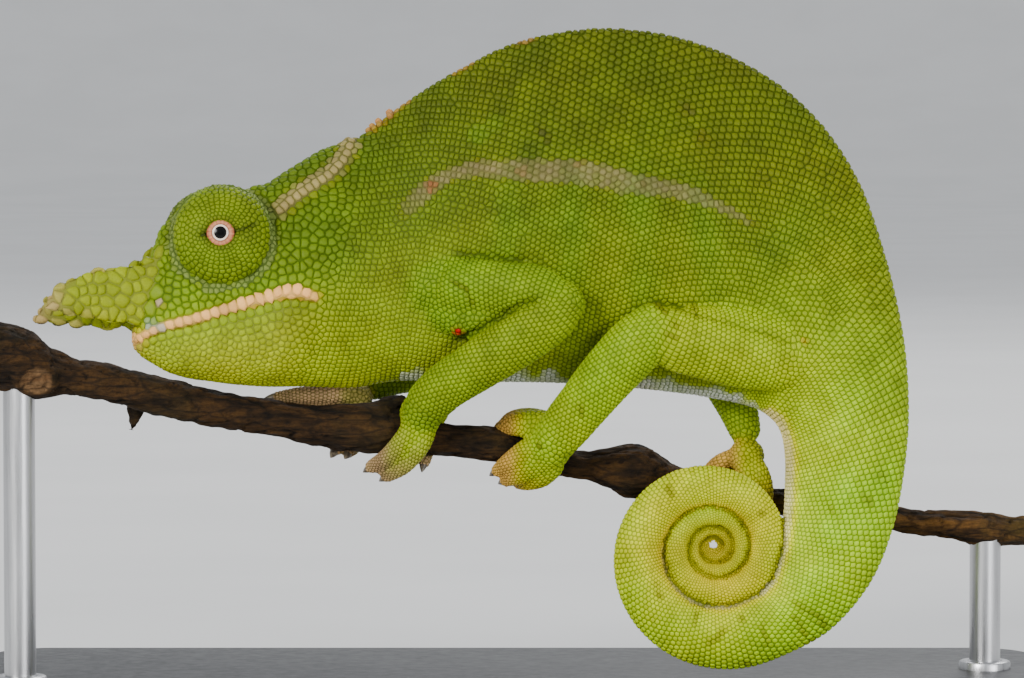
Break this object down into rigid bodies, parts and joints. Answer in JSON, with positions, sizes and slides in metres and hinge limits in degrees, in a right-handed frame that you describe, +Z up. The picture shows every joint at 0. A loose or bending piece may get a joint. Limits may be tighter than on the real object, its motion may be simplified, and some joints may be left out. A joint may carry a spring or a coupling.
{
  "type": "chameleon model",
  "caption": "Still life-size two-bladed chameleon with a coiled tail, gripping a cut length of branch on a plain display stand.",
  "frame": {"origin": "centre of the stand base's underside, where it meets the floor", "axes": "+Z up; the animal faces -X with its left side towards -Y; the base's long side runs along X"},
  "size_m": [0.104, 0.05, 0.0668],
  "materials": {
    "flank_skin": "matt green scaled skin",
    "limb_skin": "matt yellow-green scaled skin",
    "tail_skin": "matt yellow scaled skin",
    "blade_skin": "horny polygonal plates with pink tips",
    "eye": "wet, glossy",
    "bark": "rough cracked bark",
    "stand_black": "satin black",
    "stand_steel": "brushed"
  },
  "bodies": {
    "root": {"casque": "flank_skin", "cranium": "flank_skin", "lower_jaw": "flank_skin", "rostral_blade_left": "blade_skin", "rostral_blade_right": "blade_skin", "eye_turret_left": "flank_skin", "eye_turret_right": "flank_skin", "eyeball_left": "eye", "eyeball_right": "eye", "neck": "flank_skin", "trunk_front": "flank_skin", "trunk_rear": "flank_skin", "tail_base": "tail_skin", "tail_bend": "tail_skin", "tail_coil_outer": "tail_skin", "tail_coil_middle": "tail_skin", "tail_coil_inner": "tail_skin", "upper_arm_left": "limb_skin", "upper_arm_right": "limb_skin", "forearm_left": "limb_skin", "forearm_right": "limb_skin", "hand_left": "limb_skin", "hand_right": "limb_skin", "thigh_left": "limb_skin", "thigh_right": "limb_skin", "shank_left": "limb_skin", "shank_right": "limb_skin", "foot_left": "limb_skin", "foot_right": "limb_skin", "perch": "bark", "stand_base": "stand_black", "stand_rod_left": "stand_steel", "stand_rod_right": "stand_steel"}
  },
  "joints": []
}
